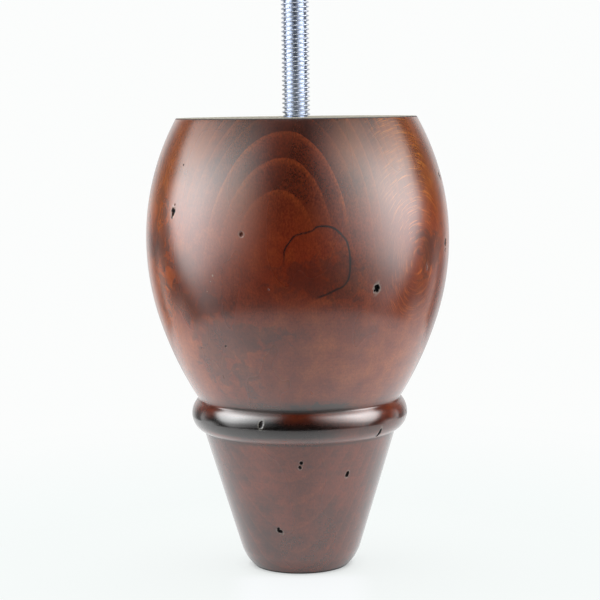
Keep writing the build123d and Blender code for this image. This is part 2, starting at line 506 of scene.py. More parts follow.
# %% Node helpers: vectors, colours and groups
def xyz(tree, vector):
    """The three parts of a vector."""
    return put(tree, "SeparateXYZ", {"Vector": vector}).outputs


def joined(tree, x, y, z):
    """A vector made of three values."""
    return put(tree, "CombineXYZ", {"X": x, "Y": y, "Z": z}).outputs[0]


def scaled(tree, vector, factor):
    """A vector or a colour times one value."""
    return put(tree, "VectorMath", {0: vector, "Scale": factor}, operation="SCALE").outputs[0]


def vectors(tree, operation, first, second):
    """A Vector Math node's result: a value for a dot product, a vector otherwise."""
    made = put(tree, "VectorMath", {0: first, 1: second}, operation=operation)
    return made.outputs["Value" if operation == "DOT_PRODUCT" else "Vector"]


def length_of(tree, vector):
    """How long a vector is."""
    return put(tree, "VectorMath", {0: vector}, operation="LENGTH").outputs["Value"]


def cloudy(tree, vector, scale, detail, roughness, distortion=0.0):
    """A Noise Texture's value at a place."""
    sockets = {"Vector": vector, "Scale": scale, "Detail": detail, "Roughness": roughness, "Distortion": distortion}
    return put(tree, "TexNoise", sockets).outputs[0]


def blend(tree, share, first, second):
    """A colour between two others."""
    return put(tree, "Mix", {0: share, 6: first, 7: second}, data_type="RGBA").outputs[2]


def graded(tree, value, stops):
    """A colour read off a row of (position, colour) stops; a plain number stands for a grey."""
    made = put(tree, "ValToRGB", {"Fac": value})
    for k, (position, colour) in enumerate(stops):
        stop = made.color_ramp.elements[k] if k < 2 else made.color_ramp.elements.new(position)
        stop.position = position
        stop.color = colour if isinstance(colour, tuple) else (colour, colour, colour, 1)
    return made.outputs["Color"]


def group(name, inputs, outputs):
    """A node group with named sockets, its inner tree and its input and output nodes."""
    tree = bpy.data.node_groups.new(name, "ShaderNodeTree")
    for label, kind in inputs:
        tree.interface.new_socket(label, in_out="INPUT", socket_type="NodeSocket" + kind)
    for label, kind in outputs:
        tree.interface.new_socket(label, in_out="OUTPUT", socket_type="NodeSocket" + kind)
    return tree, tree.nodes.new("NodeGroupInput"), tree.nodes.new("NodeGroupOutput")


print("helpers for vectors and colours ready")

# %% [markdown]
# ## Figure of the wood
# The arches on the belly aren't drawn on it: they are the tree's growth layers, cut by the lathe. So the wood
# is a solid texture, a function of the place inside the log. The layers are nearly flat, a little bowed, so the
# depth of a spot in them is a short polynomial; its fraction gives each layer a bright start that dies away to
# dark. The rays are thin upright sheets across the layers. They show as fine arcs where the surface grazes
# them and as specks where it cuts them.
# The bare top face uses the same wood as the stained side, so this is a group.

# %% Wood figure group: growth layers
figure, figure_in, figure_out = group(
    "wood figure",
    [("Place", "Vector")],
    [(label, "Float") for label in ("Layer", "Layer edge", "Year", "Outer", "Ray", "Grazing", "Speckle", "Drift")],
)
place = scaled(figure, figure_in.outputs["Place"], 1 / MM)
# Noise shows a seam where a coordinate passes zero, so it is read well away from there
apart_place = vectors(figure, "ADD", place, (237.3, 161.7, 123.9))
squeezed = vectors(figure, "MULTIPLY", apart_place, (1, 1, 0.3))
wander = put(figure, "TexNoise", {"Vector": squeezed, "Scale": 0.06, "Detail": 2.0, "Roughness": 0.5})
shift = vectors(figure, "SUBTRACT", wander.outputs["Color"], (0.5, 0.5, 0.5))
grown = vectors(figure, "ADD", place, scaled(figure, shift, 0.7))
grown_x, grown_y, grown_z = xyz(figure, grown)
off_axis = length_of(figure, vectors(figure, "MULTIPLY", grown, (1, 1, 0)))
# Under the belly's widest line the layers bend inwards with it, so the arches stay open below
BEND_R = 42.9
bend = reckon(figure, "DIVIDE", BEND_R, larger(figure, off_axis, 10.0))
under_widest = between(figure, grown_z, 94.0, 82.0)
bent = put(figure, "Mix", {"Factor": under_widest, "A": 1.0, "B": bend}).outputs["Result"]
across_log = times(figure, grown_x, bent)
# Millimetres above the middle of the arches, and where the layers start to bow
ARCH_Z, BOW_FROM = 80.0, 18.0
level = less(figure, grown_z, ARCH_Z)
high = larger(figure, level, BOW_FROM)
low = reckon(figure, "MINIMUM", less(figure, level, BOW_FROM), 0.0)
bowed = (
    (0.142, across_log, 1.0),
    (0.156, high, 1.0),
    (0.06, low, 1.0),
    (-0.0011, across_log, across_log),
    (-0.00435, high, high),
    (-0.00097, across_log, high),
)
belly_depth = times(figure, grown_y, bent)
for factor, first, second in bowed:
    belly_depth = times_plus(figure, times(figure, first, second), factor, belly_depth)
belly_depth = plus(figure, belly_depth, 39.32)
print("depth of a spot in the log:", len(figure.nodes), "nodes")

# %% Wood figure group: years
# Millimetres that the tree grew in a year, as the belly and the taper show it
BELLY_YEAR, TAPER_YEAR = 1.62, 2.7
crowded = reckon(figure, "POWER", reckon(figure, "MINIMUM", belly_depth, 0.0), 2.0)
belly_years = times_plus(figure, crowded, -0.08, times(figure, belly_depth, 1 / BELLY_YEAR))
taper_depth = times_plus(figure, grown_x, 0.162, grown_y)
taper_depth = times_plus(figure, level, -0.062, taper_depth)
taper_years = times(figure, plus(figure, taper_depth, 18.5), 1 / TAPER_YEAR)
above_bead = reckon(figure, "GREATER_THAN", grown_z, 44.0)
years = put(figure, "Mix", {"Factor": above_bead, "A": taper_years, "B": belly_years}).outputs["Result"]
layer = reckon(figure, "FRACT", years)
edge = band(figure, layer, (0.74, 0.94), (1.0, 0.96))
year = put(figure, "TexWhiteNoise", {"W": reckon(figure, "FLOOR", years)}, noise_dimensions="1D").outputs["Value"]
print("growth layers:", len(figure.nodes), "nodes")

# %% Wood figure group: rays, specks and drift
RAY_FACING = math.radians(50)
facing = (math.sin(RAY_FACING), -math.cos(RAY_FACING), -0.06)
along_ray = (math.cos(RAY_FACING), math.sin(RAY_FACING), 0)
sheet = vectors(figure, "DOT_PRODUCT", grown, facing)
run = vectors(figure, "DOT_PRODUCT", grown, along_ray)
ray_place = joined(
    figure,
    times(figure, sheet, 12.0),
    times_plus(figure, run, 0.17, 41.3),
    times_plus(figure, grown_z, 0.24, 17.7),
)
ray = between(figure, cloudy(figure, ray_place, 1.0, 2.0, 0.5), 0.52, 0.68)
slant = reckon(figure, "DIVIDE", reckon(figure, "ABSOLUTE", run), larger(figure, off_axis, 1.0))
speck_place = vectors(figure, "MULTIPLY", apart_place, (1, 1, 0.6))
for label, value in (
    ("Layer", layer),
    ("Layer edge", edge),
    ("Year", year),
    ("Outer", between(figure, belly_depth, 1.9, 2.7)),
    ("Ray", ray),
    ("Grazing", between(figure, slant, 0.36, 0.12)),
    ("Speckle", between(figure, cloudy(figure, speck_place, 2.3, 2.0, 0.6), 0.25, 0.75)),
    ("Drift", cloudy(figure, squeezed, 0.055, 2.0, 0.5)),
):
    figure.links.new(value, figure_out.inputs[label])
print("wood figure:", len(figure.nodes), "nodes")

# %% [markdown]
# ## Stained and lacquered side
# The finish is built up as on the bench: stained wood, dark glaze wiped on and left in the pits and creases,
# then satin lacquer. Stain takes deeper in the soft part of each growth layer, so the layer drives the colour.
# The tone also changes: darker on the front than on the flanks, and darker near the top, so a ramp over the
# height and the place round the axis move it as well.

# %% Tone of the stain
def material(name):
    """A material with an empty node tree, and that tree."""
    made = bpy.data.materials.new(name)
    made.use_nodes = True
    made.node_tree.nodes.clear()
    return made, made.node_tree


stained_wood, side = material("stained lacquered wood")
where = put(side, "TexCoord").outputs["Object"]
wood = put(side, "Group", {"Place": where}, node_tree=figure).outputs
spot_x, spot_y, height = xyz(side, scaled(side, where, 1 / MM))
from_axis = long_side(side, spot_x, spot_y)
facing_front = reckon(side, "DIVIDE", reckon(side, "ABSOLUTE", spot_y), larger(side, from_axis, 0.1))
# Height in millimetres, and how far the stain is lifted there
LIFT = (
    (5, 0.15), (38, 0.19), (40, 0.12), (45, 0.14), (47, 0.24), (50, 0.28), (54, 0.30), (60, 0.36),
    (66, 0.34), (72, 0.31), (84, 0.295), (94, 0.30), (104, 0.21), (112, 0.09), (120, 0.05), (128, 0.06),
)
LIFT_TOP = 130
lift = graded(side, times(side, height, 1 / LIFT_TOP), [(mm / LIFT_TOP, value) for mm, value in LIFT])
# The figure is clearest high up in the middle of the front, inside the outermost arch
upright_front = times_plus(side, band(side, spot_x, (-32.0, -12.0), (33.0, 21.0)), 0.8, 0.2)
clear_figure = times(side, between(side, height, 90.0, 112.0), upright_front)
clear_figure = times(side, clear_figure, times_plus(side, wood["Outer"], -0.55, 1.0))
on_taper = between(side, height, 42.0, 38.0)
figure_strength = times_plus(side, between(side, height, 51.0, 56.0), 0.08, clear_figure)
figure_strength = times_plus(side, on_taper, 0.24, figure_strength)
layer_tone = times(side, reckon(side, "POWER", wood["Layer"], 1.6), times_plus(side, wood["Year"], 0.2, 0.12))
tone = plus(side, times(side, layer_tone, figure_strength), less(side, lift, 0.06))
apart_where = vectors(side, "ADD", where, (0.273, 0.361, 0.157))
mottle = cloudy(side, apart_where, 150.0, 7.0, 0.66)
tone = times_plus(side, less(side, mottle, 0.5), times_plus(side, clear_figure, -0.35, 0.65), tone)
tone = times_plus(side, wood["Drift"], 0.3, tone)
tone = times_plus(side, times(side, on_taper, less(side, facing_front, 0.93)), 0.3, tone)
print("tone from figure and height:", len(side.nodes), "nodes")

# %% Flanks and turning marks
flank = times(side, between(side, facing_front, 0.85, 0.45), between(side, height, 47.0, 53.0))
lower_right = times(side, between(side, spot_x, 5.0, 15.0), between(side, height, 110.0, 84.0))
lower_left = times(side, between(side, spot_x, -5.0, -15.0), between(side, height, 74.0, 58.0))
flank_gain = times_plus(side, larger(side, lower_right, lower_left), -0.15, 0.18)
flank_gain = times_plus(side, between(side, spot_x, 10.0, -10.0), 0.07, flank_gain)
tone = times_plus(side, flank, flank_gain, tone)
taper_left = times(side, between(side, height, 28.0, 12.0), between(side, spot_x, -1.0, -11.0))
tone = times_plus(side, taper_left, -0.07, tone)
# Faint rings that the turning tool left, under the belly's widest line
turned_place = joined(side, times(side, spot_x, 0.03), 0.0, times(side, height, 2.4))
turned_rings = less(side, cloudy(side, turned_place, 1.0, 2.0, 0.6), 0.5)
tone = times_plus(side, times(side, turned_rings, between(side, height, 88.0, 78.0)), 0.12, tone)
print("tone of the stain:", len(side.nodes), "nodes")

# %% Colours of the stain
STAIN = ((0.10, (0.066, 0.0120, 0.006, 1)), (0.40, (0.228, 0.036, 0.010, 1)), (0.75, (0.500, 0.118, 0.021, 1)))
EARLY_WOOD, RAY_COLOUR = (0.42, 0.088, 0.020, 1), (0.62, 0.150, 0.026, 1)
colour = graded(side, tone, STAIN)
line_strength = times_plus(side, on_taper, 0.045, times_plus(side, clear_figure, 0.26, 0.02))
colour = blend(side, times(side, wood["Layer edge"], line_strength), colour, EARLY_WOOD)
rays = times(side, wood["Ray"], times_plus(side, wood["Grazing"], 0.86, 0.14))
rays = times(side, rays, times_plus(side, between(side, height, 70.0, 80.0), 0.66, 0.04))
colour = blend(side, rays, colour, RAY_COLOUR)
front_middle = times(side, between(side, facing_front, 0.82, 0.96), between(side, height, 74.0, 82.0))
speck_depth = times_plus(side, front_middle, 0.48, 0.36)
colour = scaled(side, colour, times_plus(side, less(side, wood["Speckle"], 0.5), speck_depth, 1.0))
print("stain:", len(side.nodes), "nodes")

# %% [markdown]
# ### Glaze, painted shade, pits and the brush mark
# The glaze is nearly black. It fills the neck, stays in the pits and lies in soft blotches where the rag didn't
# reach, and on the bead more of it stayed on the left. The lower half of the bead is painted dark as shade, the
# top of the front is painted darker as shade, the bottom edge is painted black as the shadow where the foot
# stands, and the crease under the bead and a thin line along the top edge are darker. Each blotch is an ellipse
# on the unrolled side, and a noise tears its edge. Where the stain itself took more or less, the ellipse only
# fades out. One thin curved stroke stayed on the belly, like the edge of a drip. Its shape is written as a
# distance from a middle point that changes with direction, in a Float Curve, which keeps the line thin however
# close the camera comes.

# %% Blotches on the unrolled side
def bearing(tree, x, y):
    """Angle round the axis from the front to the right, in radians."""
    return reckon(tree, "ARCTAN2", x, times(tree, y, -1.0))


around = times(side, bearing(side, spot_x, spot_y), BELLY_R)
cloud = cloudy(side, apart_where, 260.0, 6.0, 0.6, 0.8)


def apart_from(middle_around, middle_height, half_width, half_height):
    """How far a spot is from the middle of an ellipse on the unrolled side; 1 is on its line."""
    sideways = times(side, less(side, around, middle_around), 1 / half_width)
    upward = times(side, less(side, height, middle_height), 1 / half_height)
    return long_side(side, sideways, upward)


def torn_patch(*ellipse):
    """An ellipse with a torn edge, from 0 to 1."""
    return between(side, times_plus(side, less(side, cloud, 0.5), 6.0, apart_from(*ellipse)), 1.35, 0.75)


def soft_patch(*ellipse):
    """An ellipse that fades out towards its edge, from 0 to 1."""
    return between(side, apart_from(*ellipse), 1.3, 0.2)


# Millimetres round from the front, height, half width, half height, and how dark
BLOTCHES = (
    (-45.5, 96, 4.5, 9, 0.45), (-38, 80, 8, 5, 0.4), (-27, 78.5, 6, 3, 0.35), (44, 92.5, 6, 5, 0.45),
    (4, 86.5, 8, 4, 0.3), (11, 88, 5, 6, 0.4), (-14, 71.5, 8, 2.6, 0.4), (-20, 68, 7, 4, 0.4),
    (-29, 65, 5, 8, 0.4), (-18, 59, 4, 5, 0.4), (-26, 72, 8, 4, 0.3), (7, 50.2, 9, 0.9, 0.8),
)
patches = 0.0
for *ellipse, darkness in BLOTCHES:
    patches = larger(side, patches, times(side, torn_patch(*ellipse), darkness))
print("glaze in", len(BLOTCHES), "blotches")

# %% Uneven stain, glaze and dust
# Places rubbed paler, places where the stain went in deeper, the middle of the front that took it reddest, and
# specks of pale dust: the same numbers, and how strong
RUBBED = (
    (-15, 101, 9, 14, 0.5), (15, 122, 9, 10, 0.4), (-44, 112, 9, 14, 0.25), (25, 108, 10, 18, 0.22),
    (34, 121, 9, 9, 0.4), (-34, 121, 8, 7, 0.3), (4, 101, 6, 6, 0.25),
)
DEEP = (
    (24, 89, 11, 8, 0.55), (-34, 88, 6, 8, 0.55), (41, 94, 5, 5, 0.4), (-41, 94, 5, 4, 0.4), (-52, 94, 9, 5, 0.8),
    (-30, 81, 13, 9, 0.45), (-36, 90, 5, 4, 0.45), (38, 80, 9, 6, 0.4), (26, 99, 6, 9, 0.25),
)
REDDEST = ((-1, 91, 15, 16, 0.4),)
DUST = ((-24.1, 87.2, 0.28, 0.36, 0.6), (-24.9, 85.6, 0.16, 0.16, 0.6), (-26.4, 82.8, 0.18, 0.15, 0.6))


def tinted(under, ellipses, tint):
    """The colour under soft patches of a tint."""
    for *ellipse, amount in ellipses:
        under = blend(side, times(side, soft_patch(*ellipse), amount), under, tint)
    return under


colour = tinted(colour, RUBBED, (0.36, 0.074, 0.015, 1))
colour = tinted(colour, DEEP, (0.085, 0.014, 0.007, 1))
colour = tinted(colour, REDDEST, (0.30, 0.032, 0.013, 1))
# On the upper sides the wood under the stain is yellower
golden = times(side, between(side, height, 97.0, 115.0), between(side, facing_front, 0.985, 0.93))
colour = vectors(side, "MULTIPLY", colour, joined(side, 1.0, times_plus(side, golden, 0.38, 1.0), 1.0))
colour = blend(side, patches, colour, (0.022, 0.019, 0.019, 1))
colour = tinted(colour, DUST, (0.55, 0.45, 0.32, 1))
print(len(RUBBED), "places rubbed paler,", len(DEEP), "stained deeper,", len(DUST), "specks of dust")

# %% Glaze in the neck, painted shade and painted shadow
streak_place = joined(side, times(side, around, 0.07), 0.0, times(side, height, 1.6))
streaks = between(side, cloudy(side, streak_place, 1.0, 3.0, 0.6), 0.38, 0.68)
neck_end = larger(side, between(side, around, 16.0, 30.0), between(side, around, -26.0, -38.0))
in_neck = band(side, height, (48.1, 48.6), (49.7, 49.2))
in_neck = times(side, in_neck, times_plus(side, neck_end, -0.8, 1.0))
over_neck = band(side, height, (48.6, 49.2), (53.4, 49.8))
over_neck = times(side, over_neck, times_plus(side, streaks, 0.5, 0.5))
over_neck = times(side, over_neck, times_plus(side, neck_end, -0.6, 1.0))
on_bead = band(side, height, (49.0, 48.2), (39.3, 40.0))
# Painted shade: the lower half of the bead is painted dark; more real glaze darkens its left, less its right
bead_shade_and_glaze = times_plus(side, band(side, height, (48.3, 44.4), (40.9, 42.3)), 0.90, 0.05)
bead_left = band(side, around, (-3.0, -16.0), (-44.0, -30.0))
bead_shade_and_glaze = times_plus(side, times(side, bead_left, between(side, height, 40.9, 42.3)), 0.6, bead_shade_and_glaze)
bead_shade_and_glaze = times_plus(side, between(side, around, 5.0, 20.0), -0.6, bead_shade_and_glaze, clamp=True)
# Darker in the crease under the bead
crease = band(side, height, (38.7, 39.2), (40.0, 39.5))
# Painted shade: the top of the belly at the front is painted darker
front_edge = times(side, between(side, facing_front, 0.86, 0.97), 0.45)
painted_shade_near_top = times(side, between(side, height, 119.0, 127.5), front_edge)
# Painted shadow: the bottom edge is painted black where the foot meets the sheet; a thin dark line also runs along
# the top edge
top_line_and_contact_shadow = larger(side, between(side, height, 128.15, 128.35), between(side, height, 0.6, 0.3))
for share, tint in (
    (painted_shade_near_top, (0.026, 0.012, 0.009, 1)),
    (times(side, on_bead, bead_shade_and_glaze), (0.013, 0.010, 0.009, 1)),
    (times(side, crease, 0.45), (0.020, 0.018, 0.018, 1)),
    (times(side, over_neck, 0.95), (0.036, 0.034, 0.031, 1)),
    (times(side, in_neck, 0.8), (0.030, 0.028, 0.026, 1)),
    (times(side, top_line_and_contact_shadow, 0.9), (0.012, 0.013, 0.017, 1)),
):
    colour = blend(side, share, colour, tint)
print("glaze in the neck, painted shade on the bead and the top, painted shadow at the ground")

# %% Brush mark
STROKE_START, STROKE_REACH = -100, 12.0
mark_x = less(side, around, 5.2)
mark_y = less(side, height, BELLY_Z - 2.6)
heading = reckon(side, "ARCTAN2", mark_y, mark_x)
heading = reckon(side, "WRAP", heading, math.radians(STROKE_START + 360), math.radians(STROKE_START))
heading = times_plus(side, heading, 1 / FULL_TURN, -STROKE_START / 360)


def curve_of_heading(points):
    """A Float Curve over the heading, from (degrees, value between 0 and 1) pairs."""
    made = put(side, "FloatCurve", {"Value": heading})
    line = made.mapping.curves[0]
    for k, (degrees, value) in enumerate(points):
        if k < 2:
            line.points[k].location = ((degrees - STROKE_START) / 360, value)
        else:
            line.points.new((degrees - STROKE_START) / 360, value)
    made.mapping.update()
    return made.outputs[0]


# Heading in degrees, and millimetres from the middle point
STROKE = (
    (-100, 10.2), (-92, 9.9), (-75, 9.35), (-58, 9.3), (-45, 9.9), (-34, 9.9), (-22, 9.45), (-4, 8.85), (14, 8.85),
    (32, 9.3), (47, 9.35), (63, 9.5), (79, 9.2), (90, 8.85), (104, 7.9), (122, 8.35), (133, 8.9), (147, 8.85),
    (158, 9.1), (175, 8.85), (193, 9.0), (260, 10.0),
)
# Heading, and how dark the stroke is there
STROKE_DARKNESS = (
    (-100, 0), (-93, 0), (-86, 0.85), (-40, 1), (75, 0.95), (100, 0.7), (160, 0.75), (178, 0.45), (200, 0), (260, 0),
)
stroke = curve_of_heading([(degrees, mm / STROKE_REACH) for degrees, mm in STROKE])
away = long_side(side, mark_x, mark_y)
off_line = reckon(side, "ABSOLUTE", times_plus(side, stroke, -STROKE_REACH, away))
off_line = times_plus(side, less(side, mottle, 0.5), 0.25, off_line)
line_mask = times(side, between(side, off_line, 0.44, 0.12), curve_of_heading(STROKE_DARKNESS))
colour = blend(side, times(side, line_mask, 0.92), colour, (0.012, 0.011, 0.012, 1))
# Each nick has a pale rim, partly where the stain broke and partly a painted highlight on the pit's edge, and glaze
# in its pit
pit, rim = (put(side, "Attribute", attribute_name=name).outputs["Fac"] for name in ("pit", "rim"))
colour = blend(side, times(side, rim, 0.7), colour, (0.33, 0.32, 0.27, 1))
colour = blend(side, between(side, pit, 0.05, 0.6), colour, (0.008, 0.007, 0.008, 1))
print("brush mark of", len(STROKE), "points, and the nicks")

# %% [markdown]
# ### Lacquer
# The lacquer is the Principled shader's coat, a clear skin with its own gloss over the stained wood. It is
# thinner in the neck, where the glaze stayed matt, and missing in the pits. The grain shows through it as the
# faintest relief. On the bead a copy of the material reflects far more than lacquer can, which paints in
# brighter highlights there, and in the nicks the dull glaze drinks the light. Those values are the same all over
# a surface, so each is a copy of the material with other numbers.

# %% Lacquer
grain_height = times_plus(side, wood["Speckle"], 0.5, times(side, wood["Layer edge"], 0.3))
grain_bump = put(side, "Bump", {"Height": grain_height, "Strength": 0.06, "Distance": 0.0002})
satin = stretched(side, wood["Drift"], 0.3, 0.7, 0.24, 0.32)
matt_spots = larger(side, times(side, in_neck, 0.75), top_line_and_contact_shadow)
matt_spots = larger(side, times(side, pit, 0.9), matt_spots)
lacquer = put(
    side,
    "BsdfPrincipled",
    {
        "Base Color": colour,
        "Roughness": larger(side, satin, times(side, matt_spots, 0.85)),
        "Specular IOR Level": 1.0,
        "Coat Weight": less(side, 1.0, matt_spots, clamp=True),
        "Coat Roughness": 0.17,
        "Coat IOR": 1.5,
        "Normal": grain_bump.outputs["Normal"],
    },
)
put(side, "OutputMaterial", {"Surface": lacquer.outputs[0]})


def lacquered_anew(name, gloss):
    """A copy of the stained wood with other values on its shader."""
    made = stained_wood.copy()
    made.name = name
    for socket, value in gloss.items():
        made.node_tree.nodes[lacquer.name].inputs[socket].default_value = value
    return made


# Painted highlight: the bead's copy reflects far more than lacquer does, to brighten its highlights
bead_highlight_gloss = {"Coat IOR": 2.35, "Specular IOR Level": 0.5, "Coat Roughness": 0.14}
bead_wood_lit_copy = lacquered_anew("stained wood lit brighter on the bead", bead_highlight_gloss)
nick_wood = lacquered_anew("dull glaze in the nicks", {"Specular IOR Level": 0.1})
print("stained lacquered wood:", len(side.nodes), "nodes")

# %% [markdown]
# ## Bare wood
# The top was never stained: it is hidden under the furniture. The same figure shows there as end grain, pale
# and matt, with a few saw marks left by the last cut. With it the foot's list of finishes is complete, and
# each face is told which one it has.

# %% Bare wood material
bare_wood, top = material("bare wood")
top_where = put(top, "TexCoord").outputs["Object"]
top_wood = put(top, "Group", {"Place": top_where}, node_tree=figure).outputs
bare = blend(top, top_wood["Layer"], (0.38, 0.36, 0.28, 1), (0.27, 0.25, 0.185, 1))
bare = blend(top, times(top, top_wood["Speckle"], 0.3), bare, (0.22, 0.20, 0.15, 1))
bare = blend(top, times(top, top_wood["Ray"], 0.25), bare, (0.44, 0.42, 0.34, 1))
waves = {"Vector": top_where, "Scale": 260.0, "Distortion": 3.0, "Detail": 2.0}
saw = put(top, "TexWave", waves, wave_type="BANDS", bands_direction="X")
saw_bump = put(top, "Bump", {"Height": saw.outputs["Fac"], "Strength": 0.15, "Distance": 0.00006})
matt = stretched(top, top_wood["Speckle"], 0.0, 1.0, 0.62, 0.8)
dry = put(top, "BsdfPrincipled", {"Base Color": bare, "Roughness": matt, "Normal": saw_bump.outputs["Normal"]})
put(top, "OutputMaterial", {"Surface": dry.outputs[0]})
print("bare wood:", len(top.nodes), "nodes")

# %% Finishes on the faces
# Heights between which the bead gets the brighter copy that paints in its highlights, and how much glaze makes a
# face of a nick dull
BEAD_COPY_FROM, BEAD_COPY_TO, DULL_FROM = 43.9, 48.8, 0.2
for finish in (stained_wood, bare_wood, bead_wood_lit_copy, nick_wood):
    foot_data.materials.append(finish)
pit_values = foot_data.attributes["pit"].data
for face in foot_data.polygons:
    if face.material_index == STAINED and BEAD_COPY_FROM < face.center.z / MM < BEAD_COPY_TO:
        face.material_index = BEAD_LIT_COPY
    if face.material_index != BARE and min(pit_values[corner].value for corner in face.vertices) > DULL_FROM:
        face.material_index = DULL_GLAZE
print("finishes on the foot:", [finish.name for finish in foot_data.materials])

# %% [markdown]
# ## Zinc plating
# Bright zinc is a thin bluish metal skin. It is never quite even: handling leaves fine marks, and the roots of
# the thread are painted a little darker as shade. Noise varies both the colour and the roughness.

# %% Zinc material
zinc, plate = material("bright zinc plating")
plate_where = put(plate, "TexCoord").outputs["Object"]
plate_x, plate_y, _ = xyz(plate, plate_where)
crest = between(plate, long_side(plate, plate_x, plate_y), 3.3 * MM, 3.95 * MM)
handled = cloudy(plate, plate_where, 420.0, 4.0, 0.6)
# Painted shade: the roots of the thread are a little darker than the crests
metal = blend(plate, crest, (0.66, 0.73, 0.86, 1), (0.72, 0.77, 0.88, 1))
metal = blend(plate, times(plate, between(plate, handled, 0.52, 0.75), 0.5), metal, (0.48, 0.50, 0.64, 1))
plate_bump = put(plate, "Bump", {"Height": handled, "Strength": 0.08, "Distance": 0.0001})
plating = put(
    plate,
    "BsdfPrincipled",
    {
        "Base Color": metal,
        "Metallic": 1.0,
        "Roughness": stretched(plate, handled, 0.3, 0.7, 0.25, 0.36),
        "Normal": plate_bump.outputs["Normal"],
    },
)
put(plate, "OutputMaterial", {"Surface": plating.outputs[0]})
bolt_data.materials.append(zinc)
print("zinc plating:", len(plate.nodes), "nodes")

# %% [markdown]
# ## Floor and light
# The foot stands on a small white sheet. A lacquered surface is a mirror of its surroundings, so each bright
# shape on it is a thing in the room. Two curved walls of lit cloth stand close by, brightest beside the object
# and fading towards the front, because a wall that is near shows higher in the bead than in the belly. The world
# adds dim light all round, brighter right behind, two soft lamps high up at the back and a light from above.
# The camera itself sees plain white, because a Light Path node tells its rays from the others. On the sheet
# that white is painted a little darker round the foot as shade and lighter just in front of it, and the sheet
# that the lacquer mirrors is painted dimmer towards the camera and black as shadow at the foot's edge.

# %% Floor
FLOOR_R, FLOOR_BACK, FLOOR_SIDES = 0.2, 0.032, 128
floor_turns = [FULL_TURN * i / FLOOR_SIDES for i in range(FLOOR_SIDES)]
floor_ring = [(FLOOR_R * math.cos(turn), FLOOR_R * math.sin(turn), 0.0) for turn in floor_turns]
floor_data = bpy.data.meshes.new("floor_sheet")
floor_data.from_pydata(floor_ring, [], [list(range(FLOOR_SIDES))])
floor = add_object("floor_sheet", floor_data)
floor.location = (0, FLOOR_BACK, 0)
print("floor sheet of", 2 * FLOOR_R, "m")

# %% White of the sheet
paper, leaf = material("white sheet")
light_path = put(leaf, "LightPath").outputs
floor_where = put(leaf, "NewGeometry").outputs["Position"]
floor_x, floor_y, _ = xyz(leaf, floor_where)
sideways = reckon(leaf, "ABSOLUTE", floor_x)
# Metres out from the foot, and what the camera sees there: how much of the even white, and which white, painted
# darker near the foot as shade
out_from_foot = length_of(leaf, floor_where)
even = graded(leaf, out_from_foot, ((0.0135, 0.0), (0.0147, 0.7), (0.017, 0.9), (0.03, 0.94), (0.09, 1.0)))
PAINTED_SHADE_WHITES = (
    (0.015, (0.905, 0.938, 0.929, 1)),
    (0.05, (0.915, 0.95, 0.94, 1)),
    (0.11, (0.93, 0.965, 0.957, 1)),
    (0.21, (0.965, 0.978, 0.973, 1)),
)
painted_sheet_white = graded(leaf, out_from_foot, PAINTED_SHADE_WHITES)
# Painted light: a lighter patch on the sheet just in front of the foot
painted_light_in_front = times(leaf, between(leaf, floor_y, -0.012, -0.02), between(leaf, sideways, 0.022, 0.012))
painted_sheet_white = blend(leaf, painted_light_in_front, painted_sheet_white, (0.957, 0.981, 0.989, 1))
# What the lacquer mirrors of the sheet is painted light: dimmer towards the camera, as the sheet runs out of the
# light
PAINTED_RUN_OUT = ((0.13, 0.93), (0.25, 0.75), (0.45, 0.65), (0.62, 0.60), (0.75, 0.42), (0.90, 0.20), (1.0, 0.10))
painted_mirrored_sheet = graded(leaf, times(leaf, times_plus(leaf, sideways, 0.44, floor_y), -5.0), PAINTED_RUN_OUT)
# Painted shadow: the mirrored sheet is black right at the foot's edge
mirrored_contact_shadow = graded(leaf, out_from_foot, ((0.0135, 0.1), (0.015, 0.55), (0.018, 0.95), (0.022, 1.0)))
painted_mirrored_sheet = blend(leaf, mirrored_contact_shadow, (0, 0, 0, 1), painted_mirrored_sheet)
seen = blend(leaf, light_path["Is Glossy Ray"], painted_sheet_white, painted_mirrored_sheet)
seen_share = larger(leaf, times(leaf, light_path["Is Camera Ray"], even), light_path["Is Glossy Ray"])
matt_sheet = put(leaf, "BsdfDiffuse", {"Color": (0.88, 0.89, 0.90, 1)})
white_sheet = put(leaf, "Emission", {"Color": seen, "Strength": 1.0})
mixed_sheet = put(leaf, "MixShader", {0: seen_share, 1: matt_sheet.outputs[0], 2: white_sheet.outputs[0]})
put(leaf, "OutputMaterial", {"Surface": mixed_sheet.outputs[0]})
floor_data.materials.append(paper)
print("white sheet:", len(leaf.nodes), "nodes")

# %% Walls of light
WALL_R, WALL_FOOT, WALL_TOP = 0.16, 0.004, 0.36
wall_points, wall_faces = [], []
for side_sign in (-1, 1):
    first = len(wall_points)
    for degrees in range(10, 122, 2):
        turn = math.radians(degrees * side_sign)
        for height_m in (WALL_FOOT, WALL_TOP):
            wall_points.append((WALL_R * math.sin(turn), -WALL_R * math.cos(turn), height_m))
    for k in range(first, len(wall_points) - 2, 2):
        wall_faces.append((k, k + 2, k + 3, k + 1))
wall_data = bpy.data.meshes.new("light_walls")
wall_data.from_pydata(wall_points, [], wall_faces)
light_walls = add_object("light_walls", wall_data)
light_walls.visible_camera = False
print("walls of light:", len(wall_faces), "faces, up to", WALL_TOP, "m")

# %% Lit cloth
BRIGHTEST = 4.6
# Degrees round from the front, and how bright the walls are there
WALLS = (
    (-108, 2.5), (-100, 3.0), (-92, 3.5), (-84, 3.85), (-76, 4.3), (-68, 4.0), (-60, 3.2), (-52, 2.35), (-44, 1.8),
    (-36, 1.15), (-30, 0.72), (-26, 0.4), (-22, 0.16), (-17, 0.03), (-13, 0),
    (10, 0), (17, 0.25), (24, 0.55), (30, 1.0), (36, 1.4), (44, 2.0), (52, 2.8), (60, 3.75), (68, 4.1), (76, 3.85),
    (84, 3.6), (92, 2.9), (102, 2.3),
)
